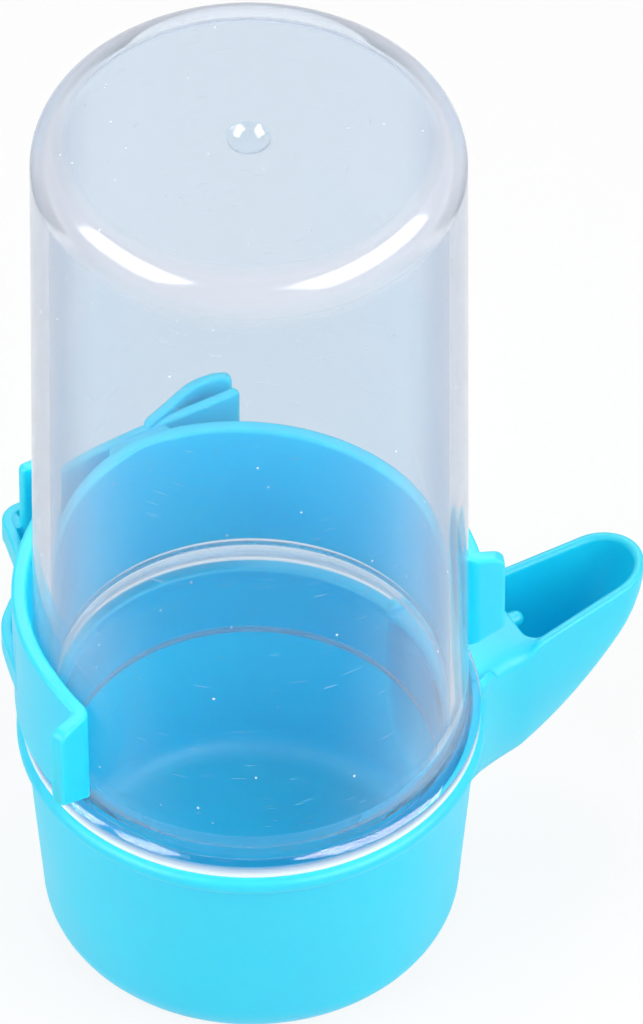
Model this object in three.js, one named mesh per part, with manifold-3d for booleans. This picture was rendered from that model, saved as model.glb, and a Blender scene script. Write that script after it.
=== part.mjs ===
// Hang-on bird drinker. A clear reservoir stands mouth-down in a round cup with a side spout, and
// a C-shaped clip round the reservoir hooks onto the wires of a cage.
// Millimetres, +Z up. The origin is the centre of the cup's flat bottom, +X points along the spout
// and +Y towards the cage.

import * as THREE from 'three';
import { mergeVertices } from 'three/addons/utils/BufferGeometryUtils.js';
import Module from 'manifold-3d';

const wasm = await Module();
wasm.setup();

// Reservoir
const bottleRadius = 29; // outer radius just above the flange
const bottleDraft = 0.6; // how much smaller the radius is at the closed end
const bottleHeight = 106.6; // from the flange's underside to the closed end
const bottleWall = 2.4;
const bottleEndRound = 5;
const flangeOverhang = 1.65; // flange edge beyond the wall
const flangeEdge = 2; // height of the flange's upright edge
const flareRadius = 3; // hollow curve between wall and flange
const neckLength = 10.2; // below the flange
const neckWall = 1.5;
const gateRadius = 3.1; // moulding mark in the middle of the closed end
const gateDepth = 0.4;

// Cup
const cupHeight = 34.1;
const cupWall = 1.6;
const cupFloor = 1.8;
const cupTaper = 2.1; // how much smaller the wall's radius is at the bottom
const cupFootRound = 5.8;
const rimProud = 0.65; // rim bead beyond the flange's edge
const rimOverhang = 1.2; // rim bead beyond the wall
const rimHeight = 2.7;
const seatClearance = 0.3; // flange over the rim
const neckClearance = 1.8; // neck inside the cup's mouth

// Spout
const spoutReach = 28.3; // from the rim's edge to the tip
const spoutDepth = 25; // from the rim down to the keel, at the cup
const spoutRise = 2.3; // how much higher the lip is at the tip than at the cup
const spoutRootWidth = 15.6; // across the outside, where the open trough starts
const spoutTipWidth = 12.1; // across the outside, where the round end starts
const spoutEndLength = 5.6; // length of the round end
const spoutFlare = 2.4; // extra width on each side where it meets the cup
const spoutWall = 1.45;
const roofLength = 7.4; // covered stretch between the rim and the open trough
const roofThickness = 2.2;
const ribThickness = 2.2; // divider below the roof
const ribDepth = 7;
const ribNose = 2.6; // how far the divider stands out past the roof
const keelFullness = 2 / 3; // power of the keel's curve, lower is blunter
const sectionFullness = 0.75; // power of the oval across the spout, lower is squarer

// Cage clip
const clipClearance = 0.5;
const clipWall = 2.1;
const clipHeight = 19;
const clipLift = 4.1; // above the flange's underside
const clipHalfAngle = 103; // degrees of ring on each side of +Y
const lipTurn = 80; // degrees that each end turns outwards
const lipBend = 1.2; // radius of that turn, on the middle of the wall
const lipLength = 3.1; // straight stretch after the turn
const lipInnerRise = 2.7; // lower edge of a lip above the ring's, at the turn
const lipOuterRise = 6.6; // and at the lip's outer end
const plateHalfLength = 16.2;
const plateThickness = 1.5;
const plateGap = 2.1; // between the back of the ring and the plate
const bridgeHalfWidth = 5; // block that joins plate and ring
const wireGap = 1.7; // pocket for a cage wire
const prongThickness = 1.5;
const prongLength = 15.2; // from its root to the plate's end
const prongRamp = 9; // stretch over which it leaves the plate
const prongNose = 2.6; // stretch over which it turns back
const prongMouth = 0.6; // gap that is left at its nose
const prongHeight = 9.5;
const fingerThickness = 1.6;
const fingerHeight = 3;
const fingerTopDrop = 10; // top of the finger below the top of the ring
const fingerProud = 1.3; // finger's outer face beyond the ring's
const fingerRootAngle = 72; // degrees of ring between +Y and the finger's root
const fingerRun = 16; // degrees over which the root rises out of the ring
const fingerLeaveAngle = 38; // degrees between +Y and the place where it leaves the ring
const fingerEndGap = 0.4; // between the finger and the plate's end
const fingerBend = 2.6; // radius of its turn round the plate's end, on its middle line
const fingerLength = 10; // hooked stretch behind the plate

// Smoothness of the round shapes
const turnSteps = 72;
const arcSteps = 6;
const ringStep = 4; // degrees
const spoutStations = 14;
const lastStation = 86; // degrees of a quarter turn that spaces the stations, short of a point
const sectionSteps = 16;

// Places that several pieces share
const seatHeight = cupHeight + seatClearance;
const flangeRadius = bottleRadius + flangeOverhang;
const rimRadius = flangeRadius + rimProud;
const cupRadius = rimRadius - rimOverhang;
const neckRadius = cupRadius - cupWall - neckClearance;
const ringInner = bottleRadius + clipClearance;
const ringOuter = ringInner + clipWall;
const ringMiddle = ringInner + clipWall / 2;
const clipBottom = seatHeight + clipLift;
const clipTop = clipBottom + clipHeight;
const plateInner = ringOuter + plateGap;
const plateOuter = plateInner + plateThickness;
const spoutTip = rimRadius + spoutReach;
const troughStart = rimRadius + roofLength;

const reservoirMaterial = new THREE.MeshStandardMaterial({
  color: 0xd6dde8, roughness: 0.12, metalness: 0, transparent: true, opacity: 0.35,
});
const cupMaterial = new THREE.MeshStandardMaterial({ color: 0x4dd9f8, roughness: 0.42, metalness: 0 });
const clipMaterial = new THREE.MeshStandardMaterial({ color: 0x53dcfa, roughness: 0.42, metalness: 0 });

// A closed geometry as a solid: shared corners merged, collapsed triangles left out.
function solidFrom(geometry) {
  const bare = new THREE.BufferGeometry();
  bare.setAttribute('position', geometry.getAttribute('position'));
  bare.setIndex(geometry.getIndex());
  const merged = mergeVertices(bare, 1e-4);
  const index = merged.getIndex().array;
  const triangles = [];
  for (let i = 0; i < index.length; i += 3) {
    const [a, b, c] = [index[i], index[i + 1], index[i + 2]];
    if (a !== b && b !== c && c !== a) triangles.push(a, b, c);
  }
  return new wasm.Manifold(new wasm.Mesh({
    numProp: 3,
    vertProperties: new Float32Array(merged.getAttribute('position').array),
    triVerts: new Uint32Array(triangles),
  }));
}

function meshFrom(solid, material, name) {
  const { vertProperties, triVerts } = solid.getMesh();
  const geometry = new THREE.BufferGeometry();
  geometry.setAttribute('position', new THREE.BufferAttribute(vertProperties, 3));
  geometry.setIndex(new THREE.BufferAttribute(triVerts, 1));
  geometry.computeVertexNormals();
  const mesh = new THREE.Mesh(geometry, material);
  mesh.name = name;
  return mesh;
}

// Points of an arc, from one angle to another in degrees.
function arc(centreX, centreY, radius, from, to, steps = arcSteps) {
  return Array.from({ length: steps + 1 }, (_, i) => {
    const angle = THREE.MathUtils.degToRad(from + (to - from) * i / steps);
    return new THREE.Vector2(centreX + radius * Math.cos(angle), centreY + radius * Math.sin(angle));
  });
}

function point(x, y) {
  return new THREE.Vector2(x, y);
}

// A profile of radius and height, listed upwards along the outside, turned round the Z axis.
function turned(profile) {
  return solidFrom(new THREE.LatheGeometry(profile, turnSteps).rotateX(Math.PI / 2));
}

// An outline seen from above, raised from one height to another.
function raised(outline, bottom, top) {
  const geometry = new THREE.ExtrudeGeometry(outline, { depth: top - bottom, bevelEnabled: false });
  return solidFrom(geometry.translate(0, 0, bottom));
}

function box(lowX, lowY, lowZ, highX, highY, highZ) {
  const geometry = new THREE.BoxGeometry(highX - lowX, highY - lowY, highZ - lowZ);
  geometry.translate((lowX + highX) / 2, (lowY + highY) / 2, (lowZ + highZ) / 2);
  return solidFrom(geometry);
}

// A strip of even thickness along a line, with round ends.
function strip(line, thickness) {
  const half = thickness / 2;
  const headings = line.map((_, i) => {
    const before = line[Math.max(i - 1, 0)];
    const after = line[Math.min(i + 1, line.length - 1)];
    return THREE.MathUtils.radToDeg(Math.atan2(after.y - before.y, after.x - before.x));
  });
  const side = (i, turn) => arc(line[i].x, line[i].y, half, headings[i] + turn, headings[i] + turn, 1)[0];
  const last = line.length - 1;
  const right = line.slice(1, -1).map((_, i) => side(i + 1, -90));
  const left = line.slice(1, -1).map((_, i) => side(i + 1, 90)).reverse();
  const nose = arc(line[last].x, line[last].y, half, headings[last] - 90, headings[last] + 90);
  const tail = arc(line[0].x, line[0].y, half, headings[0] + 90, headings[0] + 270);
  return new THREE.Shape([...right, ...nose, ...left, ...tail]);
}

// A skin over sections with equal numbers of points, closed at both ends.
function lofted(sections) {
  const count = sections[0].length;
  const corners = sections.flat();
  const triangles = [];
  for (let i = 0; i < sections.length - 1; i += 1) {
    for (let j = 0; j < count; j += 1) {
      const a = i * count + j;
      const b = i * count + (j + 1) % count;
      triangles.push(a, b, a + count, b, b + count, a + count);
    }
  }
  for (const [i, outward] of [[0, false], [sections.length - 1, true]]) {
    const middle = new THREE.Vector3();
    sections[i].forEach((corner) => middle.addScaledVector(corner, 1 / count));
    corners.push(middle);
    for (let j = 0; j < count; j += 1) {
      const a = i * count + j;
      const b = i * count + (j + 1) % count;
      triangles.push(corners.length - 1, ...(outward ? [a, b] : [b, a]));
    }
  }
  const geometry = new THREE.BufferGeometry().setFromPoints(corners);
  geometry.setIndex(triangles);
  return solidFrom(geometry);
}

function reservoir() {
  const top = seatHeight + bottleHeight;
  const endRadius = bottleRadius - bottleDraft;
  const flareTop = seatHeight + flangeEdge + flareRadius;
  const flareEnd = THREE.MathUtils.radToDeg(Math.acos(1 - flangeOverhang / flareRadius));
  const innerRound = bottleEndRound - bottleWall;
  const outside = [
    ...arc(bottleRadius + flareRadius, flareTop, flareRadius, 180 + flareEnd, 180),
    ...arc(endRadius - bottleEndRound, top - bottleEndRound, bottleEndRound, 0, 90),
    point(gateRadius, top),
    point(gateRadius, top - gateDepth),
    point(0, top - gateDepth),
  ];
  const inside = [
    point(0, top - bottleWall),
    ...arc(endRadius - bottleEndRound, top - bottleEndRound, innerRound, 90, 0),
    point(bottleRadius - bottleWall, flareTop),
    point(neckRadius - neckWall, seatHeight),
    point(neckRadius - neckWall, seatHeight - neckLength),
  ];
  const neck = [
    point(neckRadius, seatHeight - neckLength),
    point(neckRadius, seatHeight),
    point(flangeRadius, seatHeight),
  ];
  const profile = [...inside, ...neck, ...outside];
  return meshFrom(turned(profile), reservoirMaterial, 'reservoir_bottle');
}

function cupBody() {
  const footRadius = cupRadius - cupTaper;
  const bead = rimHeight / 2;
  return turned([
    point(0, 0),
    ...arc(footRadius - cupFootRound, cupFootRound, cupFootRound, -90, 0),
    point(cupRadius, cupHeight - rimHeight),
    ...arc(rimRadius - bead, cupHeight - bead, bead, -70, 90),
    point(0, cupHeight),
  ]);
}

function cupHollow() {
  const innerFoot = cupRadius - cupTaper - cupWall;
  const innerRound = cupFootRound - cupWall;
  return turned([
    point(0, cupFloor),
    ...arc(innerFoot - innerRound, cupFloor + innerRound, innerRound, -90, 0),
    point(cupRadius - cupWall, cupHeight - rimHeight),
    point(cupRadius - cupWall, cupHeight + rimHeight),
    point(0, cupHeight + rimHeight),
  ]);
}

// Height of the spout's lip at a distance from the axis: level as far as the roof, then rising.
function lipHeight(distance) {
  return cupHeight + spoutRise * Math.max(0, distance - troughStart) / (spoutTip - troughStart);
}

// The spout's form, drawn in by a wall: half an oval across, whose width tapers to a round end and
// whose keel curves up to the lip. Above the lip it goes straight up by the given height.
function spoutForm(start, inset, above) {
  const tip = spoutTip - inset;
  const roundStart = spoutTip - spoutEndLength;
  const sections = [];
  for (let i = 0; i <= spoutStations; i += 1) {
    const along = Math.sin(THREE.MathUtils.degToRad(lastStation) * i / spoutStations);
    const distance = start + (tip - start) * along;
    const share = (distance - troughStart) / (roundStart - troughStart);
    const end = Math.max(0, (distance - roundStart) / (tip - roundStart));
    const flare = spoutFlare * Math.max(0, 1 - (distance - cupRadius) / roofLength) ** 2;
    const straight = THREE.MathUtils.lerp(spoutRootWidth, spoutTipWidth, Math.max(0, share)) / 2;
    const halfWidth = (straight + flare - inset) * Math.sqrt(1 - end ** 2);
    const run = Math.max(0, (distance - cupRadius) / (tip - cupRadius));
    const depth = (spoutDepth - inset) * (1 - run ** 2) ** keelFullness;
    const lip = lipHeight(distance);
    const section = [];
    if (above > 0) section.push(new THREE.Vector3(distance, -halfWidth, lip + above));
    for (let j = 0; j <= sectionSteps; j += 1) {
      const angle = Math.PI * j / sectionSteps;
      const across = -Math.sign(Math.cos(angle)) * Math.abs(Math.cos(angle)) ** sectionFullness;
      const down = Math.sin(angle) ** sectionFullness;
      section.push(new THREE.Vector3(distance, halfWidth * across, lip - depth * down));
    }
    if (above > 0) section.push(new THREE.Vector3(distance, halfWidth, lip + above));
    sections.push(section);
  }
  return lofted(sections);
}

function cup() {
  const innerStart = cupRadius - cupTaper - 2 * cupWall;
  const outer = spoutForm(cupRadius - cupTaper - cupWall / 2, 0, 0);
  const roof = box(0, -rimRadius, cupHeight - roofThickness, troughStart, rimRadius, 2 * cupHeight);
  const ribTop = cupHeight - roofThickness / 2;
  const ribEnd = troughStart + ribNose - ribThickness / 2;
  const ribLine = [point(cupRadius, 0), point(troughStart, 0), point(ribEnd, 0)];
  const rib = raised(strip(ribLine, ribThickness), cupHeight - roofThickness - ribDepth, ribTop);
  const hollow = cupHollow();
  const passage = spoutForm(innerStart, spoutWall, rimHeight).subtract(roof);
  const shell = cupBody().add(outer.subtract(hollow)).subtract(hollow).subtract(passage);
  return meshFrom(shell.add(rib.subtract(hollow)), cupMaterial, 'drinking_cup');
}

// The middle line of the clip's right half, from the back round to the end of the lip.
function clipHalfLine() {
  const ringEnd = 90 - clipHalfAngle;
  const bend = arc(0, 0, ringMiddle + lipBend, ringEnd, ringEnd, 1)[0];
  const ring = arc(0, 0, ringMiddle, 90, ringEnd, Math.round(clipHalfAngle / ringStep));
  const turn = arc(bend.x, bend.y, lipBend, ringEnd + 180, ringEnd + 180 + lipTurn);
  const heading = ringEnd - 90 + lipTurn;
  const tip = turn.at(-1).clone().add(arc(0, 0, lipLength, heading, heading, 1)[0]);
  return [...ring, ...turn.slice(1), tip];
}

// What is cut away below the lip on one side: its lower edge climbs from the turn to the outer end.
function lipCut(side) {
  const [inner, tip] = clipHalfLine().slice(-2).map((corner) => point(side * corner.x, corner.y));
  const along = tip.clone().sub(inner).normalize();
  const start = inner.clone().addScaledVector(along, -lipBend);
  const reach = start.distanceTo(tip) + clipWall;
  const climb = lipOuterRise - lipInnerRise;
  const outline = new THREE.Shape([
    point(0, -clipHeight),
    point(2 * reach, -clipHeight),
    point(2 * reach, lipInnerRise + 2 * climb),
    point(0, lipInnerRise),
  ]);
  const wedge = new THREE.ExtrudeGeometry(outline, { depth: ringOuter, bevelEnabled: false });
  const frame = new THREE.Matrix4().makeBasis(
    new THREE.Vector3(along.x, along.y, 0),
    new THREE.Vector3(0, 0, 1),
    new THREE.Vector3(along.y, -along.x, 0),
  );
  frame.setPosition(start.x - along.y * ringOuter / 2, start.y + along.x * ringOuter / 2, clipBottom);
  return solidFrom(wedge.applyMatrix4(frame));
}

// The right hook: a prong that leaves the plate near its middle and nearly closes at the plate's end.
function prong() {
  const half = prongThickness / 2;
  const end = plateHalfLength;
  const root = point(end - prongLength, plateOuter - half);
  const top = point(root.x + prongRamp, plateOuter + wireGap + half);
  const line = new THREE.SplineCurve([
    root,
    root.clone().lerp(top, 0.5),
    top,
    point(end - prongNose, top.y),
    point(end, plateOuter + prongMouth + half),
  ]).getPoints(5 * arcSteps);
  return raised(strip(line, prongThickness), clipTop - prongHeight, clipTop);
}

// The left hook: a finger that rises out of the ring's side, runs along it, then passes round the
// plate's end and points along the plate's back.
function finger() {
  const half = fingerThickness / 2;
  const onRing = (turn, proud) => arc(0, 0, ringOuter + proud - half, 90 + turn, 90 + turn, 1)[0];
  const runEnd = fingerRootAngle - fingerRun;
  const endX = -plateHalfLength - fingerEndGap - half;
  const far = plateOuter + wireGap + half;
  const side = new THREE.SplineCurve([
    onRing(fingerRootAngle, 0),
    onRing(runEnd, fingerProud),
    onRing((runEnd + fingerLeaveAngle) / 2, fingerProud),
    onRing(fingerLeaveAngle, fingerProud),
    point(endX, far - fingerBend),
  ]).getPoints(5 * arcSteps);
  const bend = arc(endX + fingerBend, far - fingerBend, fingerBend, 180, 90);
  const line = [...side, ...bend.slice(1), point(-plateHalfLength + fingerLength, far)];
  const top = clipTop - fingerTopDrop;
  return raised(strip(line, fingerThickness), top - fingerHeight, top);
}

function cageClip() {
  const right = clipHalfLine();
  const left = right.slice(1).map((corner) => point(-corner.x, corner.y)).reverse();
  const ring = raised(strip([...left, ...right], clipWall), clipBottom, clipTop);
  const plate = box(-plateHalfLength, plateInner, clipBottom, plateHalfLength, plateOuter, clipTop);
  const plateMiddle = plateInner + plateThickness / 2;
  const bridge = box(-bridgeHalfWidth, ringMiddle, clipBottom, bridgeHalfWidth, plateMiddle, clipTop);
  const trimmed = ring.subtract(lipCut(1)).subtract(lipCut(-1));
  const hooked = trimmed.add(bridge).add(plate).add(prong()).add(finger());
  return meshFrom(hooked, clipMaterial, 'cage_clip');
}

const drinker = new THREE.Group();
drinker.add(reservoir(), cup(), cageClip());

export default drinker;
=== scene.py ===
import math
import bmesh
import bpy
import numpy as np
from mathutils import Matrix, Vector


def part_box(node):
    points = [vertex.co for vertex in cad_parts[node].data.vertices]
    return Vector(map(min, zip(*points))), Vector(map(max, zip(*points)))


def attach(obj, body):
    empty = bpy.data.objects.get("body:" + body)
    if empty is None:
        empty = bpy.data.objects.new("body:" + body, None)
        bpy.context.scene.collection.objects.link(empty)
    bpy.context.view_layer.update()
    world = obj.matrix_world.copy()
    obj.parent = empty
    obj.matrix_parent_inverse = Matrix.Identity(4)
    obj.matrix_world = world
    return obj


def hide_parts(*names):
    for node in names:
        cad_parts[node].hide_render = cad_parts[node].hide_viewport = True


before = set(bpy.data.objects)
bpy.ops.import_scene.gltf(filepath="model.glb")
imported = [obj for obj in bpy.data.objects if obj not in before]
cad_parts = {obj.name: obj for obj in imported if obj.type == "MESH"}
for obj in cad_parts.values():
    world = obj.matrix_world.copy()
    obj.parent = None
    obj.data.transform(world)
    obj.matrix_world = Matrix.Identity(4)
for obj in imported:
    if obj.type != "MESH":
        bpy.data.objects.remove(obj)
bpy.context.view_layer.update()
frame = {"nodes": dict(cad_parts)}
mm = 0.001
print("frame loaded:", ", ".join(frame["nodes"]))


# corners of a CAD node's box in millimetres
def nodeBox(name):
    low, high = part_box(name)
    return np.array(low) / mm, np.array(high) / mm


bottleLow, bottleHigh = nodeBox("reservoir_bottle")
cupHigh = nodeBox("drinking_cup")[1]
clipLow, clipHigh = nodeBox("cage_clip")


# points on a circle round (x, y), from one angle to another in degrees
def arcPoints(x, y, radius, start, stop, count):
    angle = np.radians(np.linspace(start, stop, count))
    return np.column_stack([x + radius * np.cos(angle), y + radius * np.sin(angle)])


# a polyline with a point added close to both ends of each long stretch, so flats shade flat
def steadied(line, gap=0.3):
    line = np.asarray(line, float)
    step = np.diff(line, axis=0)
    length = np.linalg.norm(step, axis=1)
    share = np.where(length > 3 * gap, gap / np.maximum(length, gap), 0)[:, None]
    spread = np.stack([line[:-1], line[:-1] + step * share, line[1:] - step * share], axis=1)
    spread = np.concatenate([spread.reshape(-1, 2), line[-1:]])
    keep = np.append(True, np.linalg.norm(np.diff(spread, axis=0), axis=1) > 1e-4)
    return spread[keep]


# a uniform Catmull-Rom curve through the points, end points held
def smoothLine(points, perSpan):
    points = np.asarray(points, float)
    padded = np.concatenate([points[:1], points, points[-1:]])
    a, b, c, d = (padded[i:i + len(points) - 1, None] for i in range(4))
    t = np.linspace(0, 1, perSpan, endpoint=False)[None, :, None]
    curve = 0.5 * (2 * b + (c - a) * t + (2 * a - 5 * b + 4 * c - d) * t ** 2 + (3 * b - a - 3 * c + d) * t ** 3)
    return np.concatenate([curve.reshape(-1, 2), points[-1:]])


# a grid of points, rows by columns, as quads; equal points are welded and the faces turned outwards;
# caps close the first and last row, each a loop whose second half runs back below its first
def gridObject(name, grid, uv=None, caps=False):
    rows, columns = grid.shape[:2]
    index = np.arange(rows * columns).reshape(rows, columns)
    quads = np.stack([index[:-1, :-1], index[:-1, 1:], index[1:, 1:], index[1:, :-1]], axis=-1)
    faces = quads.reshape(-1, 4).tolist()
    if caps:
        up = np.arange((columns - 1) // 2)
        down = columns - 2 - up
        ladder = np.stack([up[:-1], up[1:], down[1:], down[:-1]], axis=-1)
        faces += index[0][ladder].tolist() + index[-1][ladder].tolist()
    mesh = bpy.data.meshes.new(name)
    mesh.from_pydata((grid.reshape(-1, 3) * mm).tolist(), [], faces)
    if uv is not None:
        corner = np.empty(len(mesh.loops), np.int32)
        mesh.loops.foreach_get("vertex_index", corner)
        layer = mesh.uv_layers.new(name="surface")
        layer.data.foreach_set("uv", uv.reshape(-1, 2)[corner].astype(np.float32).ravel())
    work = bmesh.new()
    work.from_mesh(mesh)
    bmesh.ops.remove_doubles(work, verts=work.verts, dist=1e-6)
    bmesh.ops.recalc_face_normals(work, faces=work.faces)
    work.to_mesh(mesh)
    work.free()
    piece = bpy.data.objects.new(name, mesh)
    bpy.context.collection.objects.link(piece)
    return piece


# joins other closed meshes into the first and deletes them
def weldOn(piece, others):
    for other in others:
        joint = piece.modifiers.new(other.name, "BOOLEAN")
        joint.operation = "UNION"
        joint.solver = "EXACT"
        joint.object = other
    shape = piece.evaluated_get(bpy.context.evaluated_depsgraph_get())
    joined = bpy.data.meshes.new_from_object(shape)
    piece.modifiers.clear()
    piece.data = joined
    for other in others:
        bpy.data.objects.remove(other)


# smooth shading, with edges over the angle left sharp
def shadeSmooth(piece, sharpAngle):
    piece.data.polygons.foreach_set("use_smooth", np.ones(len(piece.data.polygons), bool))
    piece.data.set_sharp_from_angle(angle=math.radians(sharpAngle))


# gives a finished piece its material, its body and the CAD node that it stands in for
def fit(piece, body, node, material):
    piece.data.materials.clear()
    piece.data.materials.append(material)
    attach(piece, body)
    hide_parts(node)
    print(piece.name, "has", len(piece.data.polygons), "faces")


def nodeTree(name):
    material = bpy.data.materials.new(name)
    material.use_nodes = True
    nodes = material.node_tree.nodes
    return material, nodes, material.node_tree.links, nodes["Principled BSDF"]


def addNode(nodes, kind, **sockets):
    made = nodes.new(kind)
    for name, value in sockets.items():
        made.inputs[name].default_value = value
    return made


# a ramp from 0 to 1 between two positions
def addRamp(nodes, low, high):
    ramp = nodes.new("ShaderNodeMapRange")
    ramp.inputs["From Min"].default_value = low
    ramp.inputs["From Max"].default_value = high
    return ramp


# a mix of two colours, each a colour or another node's output
def addMix(nodes, links, share, low, high):
    mix = nodes.new("ShaderNodeMix")
    mix.data_type = "RGBA"
    links.new(share, mix.inputs["Factor"])
    for name, colour in (("A", low), ("B", high)):
        if isinstance(colour, tuple):
            mix.inputs[name].default_value = (*colour, 1)
        else:
            links.new(colour, mix.inputs[name])
    return mix.outputs["Result"]


# the larger of two node outputs
def larger(nodes, links, a, b):
    both = nodes.new("ShaderNodeMath")
    both.operation = "MAXIMUM"
    links.new(a, both.inputs[0])
    links.new(b, both.inputs[1])
    return both.outputs[0]


# satin moulded plastic: soft cloudy colour, a fine moulded grain and a little light inside
satin = {
    "colour": (0.008, 0.685, 0.90), "deepColour": (0.004, 0.65, 0.88), "cloud": 60, "cloudLow": 0.25, "cloudHigh": 0.6,
    "grain": 2400, "grainHeight": 0.000012, "grainStrength": 0.3, "roughLow": 0.36, "roughHigh": 0.48,
    "roughStart": 0.3, "roughFull": 0.7, "ior": 1.6, "shine": 0.6, "glow": 0.6, "glowDepth": 0.003,
    "glowColour": (0.15, 0.8, 1.0), "sharpAngle": 38,
}


def satinPlastic(name):
    material, nodes, links, shader = nodeTree(name)
    place = nodes.new("ShaderNodeTexCoord")
    cloud = addNode(nodes, "ShaderNodeTexNoise", Scale=satin["cloud"], Detail=3.0, Roughness=0.5)
    grain = addNode(nodes, "ShaderNodeTexNoise", Scale=satin["grain"], Detail=2.0, Roughness=0.6)
    spread = addRamp(nodes, satin["cloudLow"], satin["cloudHigh"])
    rough = addRamp(nodes, satin["roughStart"], satin["roughFull"])
    rough.inputs["To Min"].default_value = satin["roughLow"]
    rough.inputs["To Max"].default_value = satin["roughHigh"]
    bump = addNode(nodes, "ShaderNodeBump", Strength=satin["grainStrength"], Distance=satin["grainHeight"])
    links.new(place.outputs["Object"], cloud.inputs["Vector"])
    links.new(place.outputs["Object"], grain.inputs["Vector"])
    links.new(cloud.outputs["Fac"], spread.inputs["Value"])
    colour = addMix(nodes, links, spread.outputs["Result"], satin["deepColour"], satin["colour"])
    links.new(colour, shader.inputs["Base Color"])
    links.new(cloud.outputs["Fac"], rough.inputs["Value"])
    links.new(rough.outputs["Result"], shader.inputs["Roughness"])
    links.new(grain.outputs["Fac"], bump.inputs["Height"])
    links.new(bump.outputs["Normal"], shader.inputs["Normal"])
    shader.inputs["IOR"].default_value = satin["ior"]
    shader.inputs["Specular IOR Level"].default_value = satin["shine"]
    shader.inputs["Subsurface Weight"].default_value = satin["glow"]
    shader.inputs["Subsurface Radius"].default_value = satin["glowColour"]
    shader.inputs["Subsurface Scale"].default_value = satin["glowDepth"]
    return material


# clear moulded plastic: a faint cool tint, a frosted flange whose near-white edge is partly a painted highlight,
# hairlines and dust specks along the surface
clear = {
    "tint": (0.785, 0.85, 0.91), "edgeTint": (0.49, 0.55, 0.65), "edgeStart": 0.55, "edgeFull": 0.74,
    "frostAndHighlight": (0.97, 0.98, 1.0), "haze": (0.70, 0.72, 0.80), "veil": 0.28, "veilStart": 0.32, "veilFull": 0.78,
    "paleThrough": 0.12, "rough": 0.03, "wornRough": 0.15, "ior": 1.16, "specks": 330, "speckEdge": 0.08,
    "speckFull": 0.05, "speckNone": 0.80, "speckSure": 0.82, "hairs": 170, "hairEdge": 0.74, "hairFull": 0.80,
    "hairMost": 0.34, "hairLays": ((20, 26), (75, 34), (130, 22)), "markStrength": 0.15, "markDepth": 0.00002,
    "sharpAngle": 40,
}


def clearPlastic(name):
    material, nodes, links, shader = nodeTree(name)
    surface = nodes.new("ShaderNodeUVMap")
    surface.uv_map = "surface"
    speck = addNode(nodes, "ShaderNodeTexVoronoi", Scale=clear["specks"])
    dot = addRamp(nodes, clear["speckEdge"], clear["speckFull"])
    few = addRamp(nodes, clear["speckNone"], clear["speckSure"])
    pick = nodes.new("ShaderNodeSeparateColor")
    both = nodes.new("ShaderNodeMath")
    both.operation = "MULTIPLY"
    links.new(surface.outputs["UV"], speck.inputs["Vector"])
    links.new(speck.outputs["Distance"], dot.inputs["Value"])
    links.new(speck.outputs["Color"], pick.inputs["Color"])
    links.new(pick.outputs["Red"], few.inputs["Value"])
    links.new(dot.outputs["Result"], both.inputs[0])
    links.new(few.outputs["Result"], both.inputs[1])
    worn = both.outputs[0]
    for turn, stretch in clear["hairLays"]:
        lay = nodes.new("ShaderNodeMapping")
        lay.inputs["Rotation"].default_value = (0, 0, math.radians(turn))
        lay.inputs["Scale"].default_value = (clear["hairs"], clear["hairs"] * stretch, 1)
        lines = addNode(nodes, "ShaderNodeTexNoise", Scale=1.0, Detail=1.0)
        thin = addRamp(nodes, clear["hairEdge"], clear["hairFull"])
        thin.inputs["To Max"].default_value = clear["hairMost"]
        links.new(surface.outputs["UV"], lay.inputs["Vector"])
        links.new(lay.outputs["Vector"], lines.inputs["Vector"])
        links.new(lines.outputs["Fac"], thin.inputs["Value"])
        worn = larger(nodes, links, worn, thin.outputs["Result"])
    frostAndHighlight = nodes.new("ShaderNodeAttribute")
    frostAndHighlight.attribute_name = "frostAndHighlight"
    haze = nodes.new("ShaderNodeAttribute")
    haze.attribute_name = "haze"
    # specks and hairlines, and the flange's near-white edge, which is partly frost and partly a painted highlight
    wearFrostAndHighlight = larger(nodes, links, worn, frostAndHighlight.outputs["Fac"])
    facing = addNode(nodes, "ShaderNodeLayerWeight", Blend=0.5)
    veil = addRamp(nodes, clear["veilStart"], clear["veilFull"])  # milkier where seen at a slant
    veil.inputs["To Max"].default_value = clear["veil"]
    links.new(facing.outputs["Facing"], veil.inputs["Value"])
    milky = larger(nodes, links, haze.outputs["Fac"], veil.outputs["Result"])
    pale = larger(nodes, links, wearFrostAndHighlight, milky)
    rough = addRamp(nodes, bottle["endHaze"], 1.0)  # the closed end stays glossy
    rough.inputs["To Min"].default_value = clear["rough"]
    rough.inputs["To Max"].default_value = clear["wornRough"]
    through = addRamp(nodes, 0.0, 1.0)
    through.inputs["To Min"].default_value = 1.0
    through.inputs["To Max"].default_value = clear["paleThrough"]
    steep = addRamp(nodes, clear["edgeStart"], clear["edgeFull"])
    links.new(facing.outputs["Facing"], steep.inputs["Value"])
    depth = addMix(nodes, links, steep.outputs["Result"], clear["tint"], clear["edgeTint"])
    cloudy = addMix(nodes, links, milky, depth, clear["haze"])
    # the flange's edge is painted near-white: partly frost, partly a painted highlight
    colour = addMix(nodes, links, wearFrostAndHighlight, cloudy, clear["frostAndHighlight"])
    links.new(colour, shader.inputs["Base Color"])
    links.new(pale, rough.inputs["Value"])
    links.new(rough.outputs["Result"], shader.inputs["Roughness"])
    links.new(pale, through.inputs["Value"])
    links.new(through.outputs["Result"], shader.inputs["Transmission Weight"])
    bump = addNode(nodes, "ShaderNodeBump", Strength=clear["markStrength"], Distance=clear["markDepth"])
    links.new(worn, bump.inputs["Height"])
    links.new(bump.outputs["Normal"], shader.inputs["Normal"])
    shader.inputs["IOR"].default_value = clear["ior"]
    return material


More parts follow.
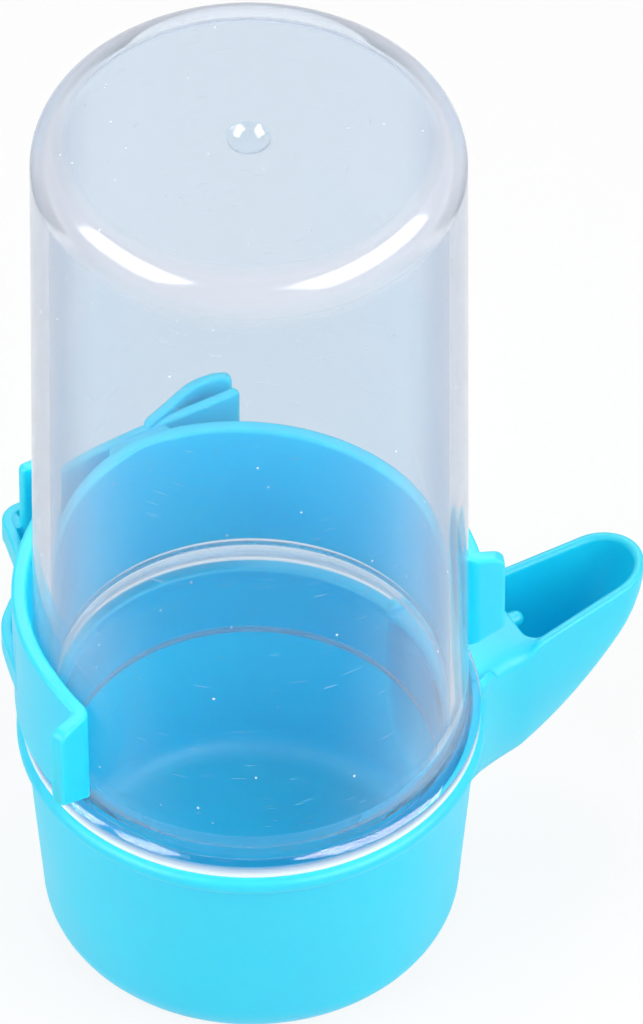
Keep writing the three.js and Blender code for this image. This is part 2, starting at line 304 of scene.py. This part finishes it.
# reservoir bottle
bottle = {
    "wall": 2.4, "draft": 0.6, "endRound": 5.0, "flangeOverhang": 1.65, "flangeEdge": 2.0, "flareRadius": 3.0,
    "neckLength": 10.2, "neckWall": 1.5, "neckRadius": 26.7, "edgeRound": 0.45, "shoulderRise": 2.0,
    "shoulderDrop": 0.5, "shoulderIn": 0.15, "throatHalf": 1.0, "throatOut": 0.25, "gateRadius": 3.1, "gateDepth": 1.4,
    "gateSlope": 56, "gateEdge": 0.3, "columns": 168, "hazeRows": 7, "lastRowDrop": 2.5, "cornerHaze": 0.85,
    "cornerHazeWidth": 8.0, "cornerHazeFade": 3.0, "hazeBelowBend": 2.0, "skinDepth": 1.0, "endHaze": 0.3,
    "wallHaze": 0.06, "wallHazeStart": 6.0, "wallHazeFull": 24.0, "mouthHaze": 0.7, "mouthHazeHeight": 0.6,
    "mouthHazeFade": 0.4, "frostHighlightHeight": 2.1, "frostHighlightFade": 0.3, "ringMargin": 0.2,
}


# the moulding mark's dish: a small round over its edge, then a hollow round down to a flat floor
def gateDish(top):
    edge, depth, slope = bottle["gateEdge"], bottle["gateDepth"], bottle["gateSlope"]
    turn = math.radians(slope)
    hollow = depth / (1 - math.cos(turn)) - edge
    over = arcPoints(bottle["gateRadius"], top - edge, edge, 90, 90 + slope, 6)
    middle = over[-1] - np.array([math.sin(turn), -math.cos(turn)]) * hollow
    under = arcPoints(*middle, hollow, slope - 90, -90, 8)
    return np.concatenate([over, under[1:], [[0, top - depth]]])


# radius and height along the wall's section, from the inner end's middle round the mouth to the outer end's
def bottleProfile():
    b = bottle
    top = bottleHigh[2]
    seat = bottleLow[2] + b["neckLength"]
    flange = bottleHigh[0]
    radius = flange - b["flangeOverhang"]
    end = radius - b["draft"]
    flareTop = seat + b["flangeEdge"] + b["flareRadius"]
    flareTurn = math.degrees(math.acos(1 - b["flangeOverhang"] / b["flareRadius"]))
    edge = b["edgeRound"]
    lip = b["neckWall"] / 2
    inside = radius - b["wall"]
    neckInner = b["neckRadius"] - b["neckWall"]
    mouth = bottleLow[2] + lip
    wallHeight = top - b["endRound"] - flareTop
    rows = np.linspace(0, 1, b["hazeRows"])[1:-1]  # for the haze to change along
    climb = np.append(rows, 1 - b["lastRowDrop"] / wallHeight)
    wall = np.column_stack([radius - b["draft"] * climb, flareTop + wallHeight * climb])
    inner = np.concatenate([
        [[0, top - b["wall"]]],
        arcPoints(end - b["endRound"], top - b["endRound"], b["endRound"] - b["wall"], 90, 0, 9),
        [[inside, flareTop + b["shoulderRise"]], [inside - b["shoulderIn"], flareTop - b["shoulderDrop"]]],
        [[neckInner + b["throatOut"], seat + b["throatHalf"]], [neckInner, seat - b["throatHalf"]]],
        arcPoints(neckInner + lip, mouth, lip, 180, 360, 13),
    ])
    outer = np.concatenate([
        arcPoints(b["neckRadius"] + edge, seat - edge, edge, 180, 90, 6),
        arcPoints(flange - edge, seat + edge, edge, -90, 0, 6),
        arcPoints(radius + b["flareRadius"], flareTop, b["flareRadius"], 180 + flareTurn, 180, 12),
        wall,
        arcPoints(end - b["endRound"], top - b["endRound"], b["endRound"], 0, 90, 14),
        gateDish(top),
    ])
    return steadied(np.concatenate([inner, outer]))


# a profile turned round the Z axis: x = r cos a, y = r sin a
def turnedGrid(profile, columns):
    angle = np.linspace(0, 2 * np.pi, columns + 1)
    radius, height = profile[:, :1], profile[:, 1:]
    grid = np.stack(np.broadcast_arrays(radius * np.cos(angle), radius * np.sin(angle), height), axis=-1)
    length = np.append(0, np.cumsum(np.linalg.norm(np.diff(profile, axis=0), axis=1)))
    uv = np.stack(np.broadcast_arrays(angle * profile[:, 0].max() * mm, length[:, None] * mm), axis=-1)
    return grid, uv


# frost, partly a painted highlight, is 1 on the flange's edge; haze is light on the wall, more on the closed end, most
# at its corner and the mouth
def frostHighlightAndHaze(piece):
    b = bottle
    place = np.empty(len(piece.data.vertices) * 3, np.float32)
    piece.data.vertices.foreach_get("co", place)
    place = place.reshape(-1, 3) / mm
    radius = np.hypot(place[:, 0], place[:, 1])
    height = place[:, 2]
    seat = bottleLow[2] + b["neckLength"]
    # a near-white band along the flange's edge: frosted, and partly a painted highlight
    level = np.clip((seat + b["frostHighlightHeight"] - height) / b["frostHighlightFade"], 0, 1)
    frostAndHighlight = np.where((radius > bottleHigh[0] - b["ringMargin"]) & (height > seat), level, 0)
    bendLow = bottleHigh[2] - b["endRound"]
    bendIn = bottleHigh[0] - b["flangeOverhang"] - b["draft"] - b["endRound"]
    fromBend = np.hypot(np.maximum(radius - bendIn, 0), np.maximum(height - bendLow, 0))
    outside = fromBend > b["endRound"] - b["skinDepth"]
    bend = np.where(outside, np.clip((height - bendLow + b["hazeBelowBend"]) / b["endRound"], 0, 1), 0)
    across = np.clip((radius - bottleHigh[0] + b["cornerHazeWidth"]) / b["cornerHazeFade"], 0, 1)
    corner = bend * across * b["cornerHaze"]
    end = np.where(radius > b["gateRadius"] + b["ringMargin"], bend ** 2, 0) * b["endHaze"]
    low, high = seat + b["wallHazeStart"], bottleHigh[2] - b["wallHazeFull"]
    wall = np.where(outside, np.clip((height - low) / (high - low), 0, 1), 0) * b["wallHaze"]
    mouthTop = bottleLow[2] + b["mouthHazeHeight"]
    mouth = np.clip((mouthTop - height) / b["mouthHazeFade"], 0, 1) * b["mouthHaze"]
    for name, amount in (("frostAndHighlight", frostAndHighlight), ("haze", np.max([corner, end, wall, mouth], axis=0))):
        layer = piece.data.attributes.new(name, "FLOAT", "POINT")
        layer.data.foreach_set("value", amount.astype(np.float32))


grid, uv = turnedGrid(bottleProfile(), bottle["columns"])
reservoir = gridObject("reservoir", grid, uv)
frostHighlightAndHaze(reservoir)
shadeSmooth(reservoir, clear["sharpAngle"])
fit(reservoir, "bottle", "reservoir_bottle", clearPlastic("clear_plastic"))
print("stage: bottle done")

# drinking cup
cup = {
    "height": 34.1, "wall": 1.6, "floor": 1.8, "taper": 2.1, "footRound": 5.8, "rimOverhang": 1.2, "rimHeight": 2.7,
    "rimRadius": 31.3, "innerEdge": 0.5, "keelRows": 40, "rowGap": 0.25, "besideStart": 0.8, "besideEnd": 10,
}
spout = {
    "depth": 25.0, "rise": 3.2, "rootWidth": 15.6, "tipWidth": 12.1, "endLength": 5.6, "flare": 2.4, "wall": 1.45,
    "keelFullness": 2 / 3, "sectionPower": 8 / 3, "keelSwell": 4.0, "keelSwellLength": 8.0, "keelInset": 2.0,
    "blend": 1.6, "lipRound": 0.7, "roofLength": 7.4, "roofThickness": 2.2, "roofEdge": 0.5, "roofFront": 0.6,
    "roofCove": 2.6, "roofDome": 3.0, "domeBack": 2.2, "domeFade": 5.0, "roofTuck": 0.6, "roofProud": 0.01,
    "roofDrop": 0.02, "roofRoot": 0.1, "sagShare": 0.8, "sagDepth": 7.0, "sagPastRim": 0.2, "sagRun": 2.5,
    "sagBeforeTrough": 2.7, "sagEndRun": 4.5, "ribThickness": 2.2, "ribDepth": 7.0, "ribEdge": 0.5, "ribNose": 2.9,
    "ribBack": 1.4, "rodHeight": 32.3,
}
cupRadius = cup["rimRadius"] - cup["rimOverhang"]
footRadius = cupRadius - cup["taper"]
keelRoot = footRadius - cup["wall"] - spout["keelInset"]
spoutTip = cupHigh[0]
troughStart = cup["rimRadius"] + spout["roofLength"]
roundStart = spoutTip - spout["endLength"]


# depth of the keel below the lip: it falls to nothing at the tip, and swells where it runs into the cup
def keelDepth(x, inset):
    run = np.clip((x - cupRadius) / (spoutTip - inset - cupRadius), 0, 1)
    near = np.clip(1 - (x - keelRoot) / spout["keelSwellLength"], 0, 1)
    return (spout["depth"] - inset) * (1 - run ** 2) ** spout["keelFullness"] + spout["keelSwell"] * near ** 2


# half the spout's width at distance x, at a drop below its lip: an oval section on a tapering plan with a round end
def spoutHalfWidth(x, drop, inset):
    share = np.maximum(0, (x - troughStart) / (roundStart - troughStart))
    straight = (spout["rootWidth"] + (spout["tipWidth"] - spout["rootWidth"]) * share) / 2
    end = np.clip((x - roundStart) / (spoutTip - inset - roundStart), 0, 1)
    flare = spout["flare"] * np.clip(1 - (x - cupRadius) / spout["roofLength"], 0, 1) ** 2
    half = (straight + flare - inset) * np.sqrt(1 - end ** 2)
    ratio = np.clip(drop / np.maximum(keelDepth(x, inset), 1e-6), 0, 1)
    return half * (1 - ratio ** spout["sectionPower"]) ** (1 / spout["sectionPower"])


# distance from the axis to the spout's skin along each angle, closed in on from both sides by halving
def spoutRadius(angle, drop, inset):
    low = np.zeros(np.broadcast_shapes(angle.shape, drop.shape))
    high = np.full_like(low, spoutTip + 1)
    ahead = np.cos(angle) > 0.5
    for halving in range(34):
        middle = (low + high) / 2
        inside = ahead & (np.abs(middle * np.sin(angle)) < spoutHalfWidth(middle * np.cos(angle), drop, inset))
        low = np.where(inside, middle, low)
        high = np.where(inside, high, middle)
    return low


# the larger of two radii, with a fillet where they are close
def filleted(a, b, blend):
    share = np.clip(0.5 + 0.5 * (a - b) / blend, 0, 1)
    return np.where(b > blend, a * share + b * (1 - share) + blend * share * (1 - share), a)


# how far a rounded edge has drawn in at a distance from it
def roundedIn(distance, radius):
    return radius - np.sqrt(np.maximum(0, radius ** 2 - np.maximum(0, radius - distance) ** 2))


# angles round the cup, close together along the spout's sides and end
def cupAngles():
    nose = roundStart + (spoutTip - roundStart) * np.cos(np.linspace(0, np.pi / 2, 16))
    side = np.linspace(roundStart, cup["rimRadius"], 27)[1:]
    x = np.concatenate([nose, side])
    half = np.arctan2(spoutHalfWidth(x, np.zeros(1), 0), x)
    beside = half[-1] + np.radians(np.linspace(cup["besideStart"], cup["besideEnd"], 10))
    rest = np.linspace(beside[-1], np.pi, 66)[1:]
    half = np.concatenate([half, beside, rest])
    return np.concatenate([half, 2 * np.pi - half[-2:0:-1], [2 * np.pi]])


# drops and radii of one side of the section, with rows added where the keel needs them
def keeledRows(profile, inset):
    drop = cup["height"] - profile[:, 1]
    order = np.argsort(drop)
    keel = keelDepth(np.linspace(keelRoot, spoutTip - inset, cup["keelRows"]), inset)
    near = np.abs(keel[:, None] - drop).min(axis=1)
    rows = np.sort(np.concatenate([drop, keel[near > cup["rowGap"]]]))
    return rows, np.interp(rows, drop[order], profile[order, 0])


# a smooth step from 0 to 1
def smoothStep(value, start, length):
    share = np.clip((value - start) / length, 0, 1)
    return share * share * (3 - 2 * share)


# how far the roof's sides come down: deep by the cup, and no more than the lip's own rounding along the trough
def domeDepth(x):
    deep = 1 - smoothStep(x, troughStart - spout["domeBack"], spout["domeFade"])
    return spout["lipRound"] + (spout["roofDome"] - spout["lipRound"]) * deep


# how far the skin's lip sinks to stay below the domed roof, between rim and trough
def lipSag(x):
    pastRim = smoothStep(x, cup["rimRadius"] + spout["sagPastRim"], spout["sagRun"])
    beforeTrough = 1 - smoothStep(x, troughStart - spout["sagBeforeTrough"], spout["sagEndRun"])
    return spout["sagShare"] * spout["roofDome"] * pastRim * beforeTrough


# the cup and spout as one skin: each row keeps a drop below the lip, and the lip climbs towards the tip
def cupGrid():
    height = cup["height"]
    bead = cup["rimHeight"] / 2
    edge = cup["innerEdge"]
    innerFoot = footRadius - cup["wall"]
    innerRound = cup["footRound"] - cup["wall"]
    innerTop = cupRadius - cup["wall"]
    outside = steadied(np.concatenate([
        arcPoints(footRadius - cup["footRound"], cup["footRound"], cup["footRound"], -90, 0, 12),
        [[cupRadius, height - cup["rimHeight"]]],
        arcPoints(cup["rimRadius"] - bead, height - bead, bead, -70, 90, 18),
    ]))
    inside = steadied(np.concatenate([
        arcPoints(innerTop + edge, height - edge, edge, 90, 180, 6),
        [[innerTop, height - cup["rimHeight"]]],
        arcPoints(innerFoot - innerRound, cup["floor"] + innerRound, innerRound, 0, -90, 10),
    ]))
    outDrop, outRadius = keeledRows(outside, 0)
    inDrop, inRadius = keeledRows(inside, spout["wall"])
    drop = np.concatenate([[height], outDrop[::-1], inDrop, [height - cup["floor"]]])[:, None]
    radius = np.concatenate([[0], outRadius[::-1], inRadius, [0]])[:, None]
    outInset = roundedIn(outDrop, spout["lipRound"])
    inInset = spout["wall"] - roundedIn(inDrop, spout["lipRound"])
    inset = np.concatenate([[0], outInset[::-1], inInset, [spout["wall"]]])[:, None]
    angle = cupAngles()[None, :]
    reach = filleted(radius, spoutRadius(angle, drop, inset), spout["blend"])
    x = reach * np.cos(angle)
    climb = spout["rise"] * np.maximum(0, x - troughStart) / (spoutTip - troughStart)
    sag = lipSag(x) * np.clip(1 - drop / spout["sagDepth"], 0, 1)
    return np.stack([x, reach * np.sin(angle), height - drop + climb - sag], axis=-1)


bar = {"support": 0.3, "endMargin": 1.15}


# a rounded loop: across a bar, and up from its low side or down from its high side
def barSection(half, edge):
    turn = np.radians(np.linspace(0, 90, 5))
    side = np.concatenate([[half], half - edge + edge * np.cos(turn)])
    rise = np.concatenate([[-edge - bar["support"]], -edge + edge * np.sin(turn)])
    across = np.concatenate([side, -side[::-1], -side, side[::-1]])
    up = np.concatenate([rise, rise[::-1], -rise, -rise[::-1]])
    fromTop = np.repeat([True, False], 2 * len(side))
    return np.append(across, across[0]), np.append(up, up[0]), np.append(fromTop, True)


# a bar carried along a path in plan; its ends are rounded off, and low and high give its two sides along the way
def barGrid(path, thickness, low, high, edge, lean=0.0, endRound=None):
    half = thickness / 2
    endRound = endRound or half
    along = np.append(0, np.cumsum(np.linalg.norm(np.diff(path, axis=0), axis=1)))
    total = along[-1]
    ends = endRound * (1 - np.cos(np.linspace(0, np.pi / 2, 7)))
    margin = endRound * bar["endMargin"]
    middle = along[(along > margin) & (along < total - margin)]
    walk = np.concatenate([ends, middle, total - ends[::-1]])
    line = np.column_stack([np.interp(walk, along, path[:, 0]), np.interp(walk, along, path[:, 1])])
    heading = np.gradient(line, walk, axis=0)
    heading /= np.linalg.norm(heading, axis=1)[:, None]
    normal = np.column_stack([-heading[:, 1], heading[:, 0]])
    across, up, fromTop = barSection(half, edge)
    nearEnd = np.minimum(walk, total - walk)
    slim = 1 - roundedIn(nearEnd, endRound) / half
    lowZ = low(walk, total) if callable(low) else np.full_like(walk, low)
    highZ = high(walk, total) if callable(high) else np.full_like(walk, high)
    z = np.where(fromTop, highZ[:, None], lowZ[:, None]) + up
    out = across * slim[:, None] + lean * (z - z.mean())
    return np.concatenate([line[:, None] + normal[:, None] * out[..., None], z[..., None]], axis=-1)


# top and bottom of a bar with its four corners rounded in elevation
def cornered(low, high, radius):
    def lowSide(walk, total):
        return low + roundedIn(np.minimum(walk, total - walk), radius)

    def highSide(walk, total):
        return high - roundedIn(np.minimum(walk, total - walk), radius)
    return lowSide, highSide


# the roof of the passage between cup and trough: a slab from the cup's inner wall to a front edge with round corners;
# across, its top is a flattened oval that ends upright, flush with the spout's sides
def roofGrid():
    edge = spout["roofEdge"]
    half = spout["roofThickness"] / 2
    turn = np.radians(np.linspace(0, 90, 5))
    nose = np.column_stack([-edge + edge * np.cos(turn), half - edge + edge * np.sin(turn)])
    run = np.linspace(1, 0, 14)[1:-1]
    shift = np.concatenate([nose[:, 0], 0 * run, -nose[::-1, 0]])
    up = np.concatenate([nose[:, 1], 0 * run + half, nose[::-1, 1]])
    along = np.concatenate([np.ones(5), run, np.zeros(5)])
    shift = np.concatenate([shift, shift[::-1], shift[:1]])
    up = np.concatenate([up, -up[::-1], up[:1]])
    along = np.concatenate([along, along[::-1], along[:1]])
    share = np.sin(np.linspace(-np.pi / 2, np.pi / 2, 65))[:, None]
    wallRadius = cupRadius - cup["wall"] + spout["roofRoot"]
    inner = spoutHalfWidth(troughStart, 0, spout["wall"])
    x = cupRadius + (troughStart - cupRadius) * along + 0 * share
    for settling in range(5):
        wider = np.where(up > 0, spout["roofProud"], -spout["roofTuck"])
        y = share * (spoutHalfWidth(np.maximum(x, cupRadius), 0, 0) + wider)
        bend = np.clip((np.abs(y) - inner) / spout["roofCove"] + 1, 0, 1)
        coveX = troughStart + spout["roofFront"] + spout["roofCove"] * (1 - np.sqrt(1 - bend ** 2))
        x = np.sqrt(wallRadius ** 2 - y ** 2) * (1 - along) + coveX * along + shift
    oval = 1 - np.cbrt(1 - np.abs(share) ** 3)
    climb = spout["rise"] * np.maximum(0, x - troughStart) / (spoutTip - troughStart)
    middle = cup["height"] - spout["roofDrop"] - half
    return np.stack([x, y, middle + up + climb - domeDepth(x) * oval], axis=-1)


ribTop = cup["height"] - spout["roofThickness"] / 2
ribLow = cup["height"] - spout["roofThickness"] - spout["ribDepth"]
rodHalf = spout["ribThickness"] / 2
rodTip = troughStart + spout["ribNose"]
ribPath = np.column_stack([np.linspace(cupRadius, rodTip - spout["ribBack"], 12), np.zeros(12)])
drinker = gridObject("cup_and_spout", cupGrid())
roof = gridObject("spout_roof", roofGrid(), caps=True)
rib = gridObject("spout_rib", barGrid(ribPath, spout["ribThickness"], ribLow, ribTop, spout["ribEdge"]))
rodEnd = arcPoints(0, rodTip - rodHalf, rodHalf, 0, 90, 9)
rodGrid = turnedGrid(np.concatenate([[[0, cupRadius], [rodHalf, cupRadius]], rodEnd]), 32)[0]
rod = gridObject("spout_rod", rodGrid[..., [2, 0, 1]] + [0, 0, spout["rodHeight"]])  # laid along X
weldOn(drinker, [roof, rib, rod])
shadeSmooth(drinker, satin["sharpAngle"])
fit(drinker, "cup", "drinking_cup", satinPlastic("cup_plastic"))
print("stage: cup and spout done")

# cage clip
clip = {
    "clearance": 0.5, "wall": 2.1, "halfAngle": 103, "lipTurn": 80, "lipBend": 1.2, "leftLip": 4.6, "rightLip": 3.1,
    "lipInnerRise": 2.8, "lipOuterRise": 5.1, "lipCorner": 1.5, "lipSink": 1.1, "lipEnd": 0.35, "edge": 0.5,
    "bottleRadius": 29.0, "lean": 0.012, "stepRise": 1.2, "stepRun": 1.2, "stepEnd": 3.0,
    "sinkStart": 4.0, "sinkRun": 10.0, "backRise": 2.8,
}
plate = {
    "halfLength": 16.2, "thickness": 1.5, "gap": 2.1, "bridgeHalfWidth": 5.0, "wireGap": 1.7, "edge": 0.4,
    "rise": 0.8, "rightReach": 0.9, "corner": 0.9, "bridgeInset": 0.15, "bridgeEdge": 0.3,
}
prong = {
    "thickness": 1.5, "length": 15.2, "ramp": 9.0, "nose": 2.6, "mouth": 0.6, "height": 11.0, "rise": 1.5,
    "corner": 1.2,
}
finger = {
    "thickness": 1.6, "height": 3.6, "topDrop": 10.0, "proud": 1.7, "rootAngle": 72, "run": 16, "leaveAngle": 38,
    "endGap": 0.4, "bend": 2.6, "length": 10.0, "corner": 0.7, "stubThickness": 2.0, "stubOut": 0.2, "stubIn": 0.4,
    "stubReach": 2.2, "stubInset": 0.1, "stubEdge": 0.3,
}
ringInner = clip["bottleRadius"] + clip["clearance"]
ringOuter = ringInner + clip["wall"]
ringMiddle = (ringInner + ringOuter) / 2
plateInner = ringOuter + plate["gap"]
plateOuter = plateInner + plate["thickness"]
clipBottom, clipTop = clipLow[2], clipHigh[2]


# middle line of half the ring in plan, from the bottle's back to the end of the lip
def halfRing(lipLength):
    end = 90 - clip["halfAngle"]
    bendRadius = ringMiddle + clip["lipBend"]
    bendX, bendY = bendRadius * math.cos(math.radians(end)), bendRadius * math.sin(math.radians(end))
    heading = math.radians(end - 90 + clip["lipTurn"])
    around = arcPoints(0, 0, ringMiddle, 90, end, 70)
    fold = arcPoints(bendX, bendY, clip["lipBend"], end + 180, end + 180 + clip["lipTurn"], 12)
    lip = fold[-1] + np.linspace(0, lipLength, 9)[1:, None] * [math.cos(heading), math.sin(heading)]
    return np.concatenate([around, fold[1:], lip])


# both halves in one line, from the left lip's end to the right one's
def ringPath():
    return np.concatenate([halfRing(clip["leftLip"])[:0:-1] * [-1, 1], halfRing(clip["rightLip"])])


# underside of the ring: level, then stepping and sloping up along each lip
def ringLow(walk, total):
    def side(near, fold):
        rise = [clip["lipOuterRise"], clip["lipInnerRise"], clip["stepRise"], 0]
        return np.interp(near, [0, fold, fold + clip["stepRun"], fold + clip["stepEnd"]], rise)
    return clipBottom + side(walk, clip["leftLip"]) + side(total - walk, clip["rightLip"])


# top of the ring: a little higher at the back, and sinking towards each lip's rounded corner
def ringHigh(walk, total):
    near = np.minimum(walk, total - walk)
    sink = clip["lipSink"] * (1 - smoothStep(near, clip["sinkStart"], clip["sinkRun"]))
    return clipTop - sink + clip["backRise"] * (2 * near / total) ** 2 - roundedIn(near, clip["lipCorner"])


# the prong in plan: up from the plate on a ramp, level over the wires, then a nose that turns back in
def prongPath():
    half = prong["thickness"] / 2
    end = plate["halfLength"] + plate["rightReach"]
    root = np.array([end - prong["length"], plateOuter - half])
    top = np.array([root[0] + prong["ramp"], plateOuter + plate["wireGap"] + half])
    tail = [[end - prong["nose"], top[1]], [end, plateOuter + prong["mouth"] + half]]
    return smoothLine(np.concatenate([[root, (root + top) / 2, top], tail]), 10)


# the finger in plan: along the ring as a rib, straight off it past the plate's left end, and round it
def fingerPath():
    half = finger["thickness"] / 2
    turn = np.array([finger["rootAngle"], finger["rootAngle"] - finger["run"],
                     (finger["rootAngle"] - finger["run"] + finger["leaveAngle"]) / 2, finger["leaveAngle"]])
    radius = ringOuter - half + np.array([0, 1, 1, 1]) * finger["proud"]
    angle = np.radians(90 + turn)
    onRing = np.column_stack([radius * np.cos(angle), radius * np.sin(angle)])
    endX = -plate["halfLength"] - finger["endGap"] - half
    far = plateOuter + plate["wireGap"] + half
    run = smoothLine(np.concatenate([onRing, [[endX, far - finger["bend"]]]]), 10)
    hook = arcPoints(endX + finger["bend"], far - finger["bend"], finger["bend"], 180, 90, 10)
    tail = np.column_stack([np.linspace(endX + finger["bend"], finger["length"] - plate["halfLength"], 8)[1:],
                            np.full(7, far)])
    return np.concatenate([run, hook[1:], tail])


# a straight line across, at one distance behind the axis
def straightPath(left, right, y):
    return np.column_stack([np.linspace(left, right, 24), np.full(24, y)])


ringGrid = barGrid(ringPath(), clip["wall"], ringLow, ringHigh, clip["edge"], clip["lean"], clip["lipEnd"])
ring = gridObject("clip_ring", ringGrid, caps=True)
plateTop = clipTop + plate["rise"]
plateLow, plateHigh = cornered(clipBottom, plateTop, plate["corner"])
plateY = (plateInner + plateOuter) / 2
platePath = straightPath(-plate["halfLength"], plate["halfLength"] + plate["rightReach"], plateY)
back = gridObject("clip_plate", barGrid(platePath, plate["thickness"], plateLow, plateHigh, plate["edge"]))
bridgeY = (ringMiddle + plateY) / 2
bridgePath = straightPath(-plate["bridgeHalfWidth"], plate["bridgeHalfWidth"], bridgeY)
bridgeLow, bridgeHigh = clipBottom + plate["bridgeInset"], plateTop - plate["bridgeInset"]
bridgeGrid = barGrid(bridgePath, plateY - ringMiddle, bridgeLow, bridgeHigh, plate["bridgeEdge"])
bridge = gridObject("clip_bridge", bridgeGrid)
prongTop = clipTop + prong["rise"]
prongLow, prongHigh = cornered(prongTop - prong["height"], prongTop, prong["corner"])
spring = gridObject("clip_prong", barGrid(prongPath(), prong["thickness"], prongLow, prongHigh, plate["edge"]))
fingerTop = clipTop - finger["topDrop"]
fingerBottom = fingerTop - finger["height"]
fingerLow, fingerHigh = cornered(fingerBottom, fingerTop, finger["corner"])
hook = gridObject("clip_finger", barGrid(fingerPath(), finger["thickness"], fingerLow, fingerHigh, plate["edge"]))
stubX = -plate["halfLength"] - finger["stubOut"]
stubPath = np.array([[stubX, plateInner + finger["stubIn"]], [stubX, plateOuter + finger["stubReach"]]])
stubLow, stubHigh = fingerBottom + finger["stubInset"], fingerTop - finger["stubInset"]
root = gridObject(
    "clip_finger_root", barGrid(stubPath, finger["stubThickness"], stubLow, stubHigh, finger["stubEdge"]))
weldOn(ring, [back, bridge, spring, hook, root])
ring.name = "cage_holder"
shadeSmooth(ring, satin["sharpAngle"])
fit(ring, "clip", "cage_clip", satinPlastic("clip_plastic"))
print("stage: clip done")

# floor, light and camera; a lamp's turn and rise in degrees, then its width, height and glow
studio = {
    "floorHalf": 3.0, "floorGlow": 0.84, "floorColour": (0.9, 0.9, 0.9, 1), "worldDiffuse": 0.3, "bounces": 48,
    "distance": 0.55, "aim": 0.1,
    "left": (60, 27, 0.42, 0.42, 3.1), "right": (-57, 27, 0.62, 0.42, 2.8), "overhead": (180, 52, 0.45, 0.4, 2.2),
    "glintLeft": (70, 46, 0.44, 0.3, 80.0), "glintRight": (-68, 46, 0.6, 0.3, 80.0),
}
view = {
    "azimuth": -29.0, "elevation": 45.23, "distance": 2.417, "aim": (0, 0, 0.0344), "right": 0.0094, "up": 0.02676,
    "lens": 637.2, "clipEnd": 10,
}
scene = bpy.context.scene
scene.view_settings.view_transform = "Standard"
scene.cycles.max_bounces = studio["bounces"]
scene.cycles.transmission_bounces = scene.cycles.glossy_bounces = studio["bounces"]
scene.cycles.blur_glossy = 0


# white for what the camera, a reflection or clear plastic sees, and a plain level for light on the object
def backdropWhite(nodes, links):
    path = nodes.new("ShaderNodeLightPath")
    seen = path.outputs["Is Camera Ray"]
    for other in ("Is Glossy Ray", "Is Transmission Ray"):
        seen = larger(nodes, links, seen, path.outputs[other])
    return seen


world = bpy.data.worlds.new("studio")
scene.world = world
world.use_nodes = True
nodes, links = world.node_tree.nodes, world.node_tree.links
nodes.clear()
lit = addNode(nodes, "ShaderNodeBackground", Color=(1, 1, 1, 1), Strength=studio["worldDiffuse"])
white = addNode(nodes, "ShaderNodeBackground", Color=(1, 1, 1, 1), Strength=1.0)
choose = nodes.new("ShaderNodeMixShader")
out = nodes.new("ShaderNodeOutputWorld")
links.new(backdropWhite(nodes, links), choose.inputs[0])
links.new(lit.outputs[0], choose.inputs[1])
links.new(white.outputs[0], choose.inputs[2])
links.new(choose.outputs[0], out.inputs["Surface"])

side = studio["floorHalf"]
floorMesh = bpy.data.meshes.new("floor")
floorMesh.from_pydata([(-side, -side, 0), (side, -side, 0), (side, side, 0), (-side, side, 0)], [], [(0, 1, 2, 3)])
floor = bpy.data.objects.new("floor", floorMesh)
scene.collection.objects.link(floor)
paper, nodes, links, shader = nodeTree("floor_paper")
shader.inputs["Base Color"].default_value = studio["floorColour"]
shader.inputs["Roughness"].default_value = 1.0
shader.inputs["Specular IOR Level"].default_value = 0.0
glow = addNode(nodes, "ShaderNodeEmission", Color=(1, 1, 1, 1), Strength=1.0)
share = nodes.new("ShaderNodeMath")
share.operation = "MULTIPLY"
share.inputs[1].default_value = studio["floorGlow"]
blend = nodes.new("ShaderNodeMixShader")
links.new(backdropWhite(nodes, links), share.inputs[0])
links.new(share.outputs[0], blend.inputs[0])
links.new(shader.outputs[0], blend.inputs[1])
links.new(glow.outputs[0], blend.inputs[2])
links.new(blend.outputs[0], nodes["Material Output"].inputs["Surface"])
floorMesh.materials.append(paper)


# direction towards the camera or a lamp: azimuth 0 is -Y
def lookFrom(azimuth, elevation):
    a, e = math.radians(azimuth), math.radians(elevation)
    return Vector((math.sin(a) * math.cos(e), -math.cos(a) * math.cos(e), math.sin(e)))


# a large soft lamp, turned and raised from the camera's side; its power gives it one glow whatever its size
def softbox(name, turn, rise, width, height, glow):
    lamp = bpy.data.lights.new(name, "AREA")
    lamp.shape = "RECTANGLE"
    lamp.size, lamp.size_y = width, height
    lamp.energy = glow * math.pi * width * height
    made = bpy.data.objects.new(name, lamp)
    away = lookFrom(view["azimuth"] - turn, rise)
    made.location = away * studio["distance"] + Vector((0, 0, studio["aim"]))
    made.rotation_euler = away.to_track_quat("Z", "Y").to_euler()
    scene.collection.objects.link(made)
    return made


clearOnly = bpy.data.collections.new("clear_only")
clearOnly.objects.link(reservoir)
solid = bpy.data.collections.new("solid")
for piece in (drinker, ring, floor):
    solid.objects.link(piece)
for name in ("left", "right", "overhead"):  # the clear bottle lets their light through
    made = softbox("softbox_" + name, *studio[name])
    made.visible_transmission = False
    made.light_linking.blocker_collection = solid
for name in ("glintLeft", "glintRight"):  # only mirrored in the clear plastic
    glint = softbox(name, *studio[name])
    glint.visible_diffuse = glint.visible_transmission = False
    glint.light_linking.receiver_collection = clearOnly

camera = bpy.data.cameras.new("camera")
camera.lens = view["lens"]
camera.clip_end = view["clipEnd"]
eye = bpy.data.objects.new("camera", camera)
back = lookFrom(view["azimuth"], view["elevation"])
across = Vector((math.cos(math.radians(view["azimuth"])), math.sin(math.radians(view["azimuth"])), 0))
upward = back.cross(across)
eye.location = Vector(view["aim"]) + back * view["distance"] + across * view["right"] + upward * view["up"]
eye.rotation_euler = back.to_track_quat("Z", "Y").to_euler()
scene.collection.objects.link(eye)
scene.camera = eye
print("stage: studio done")
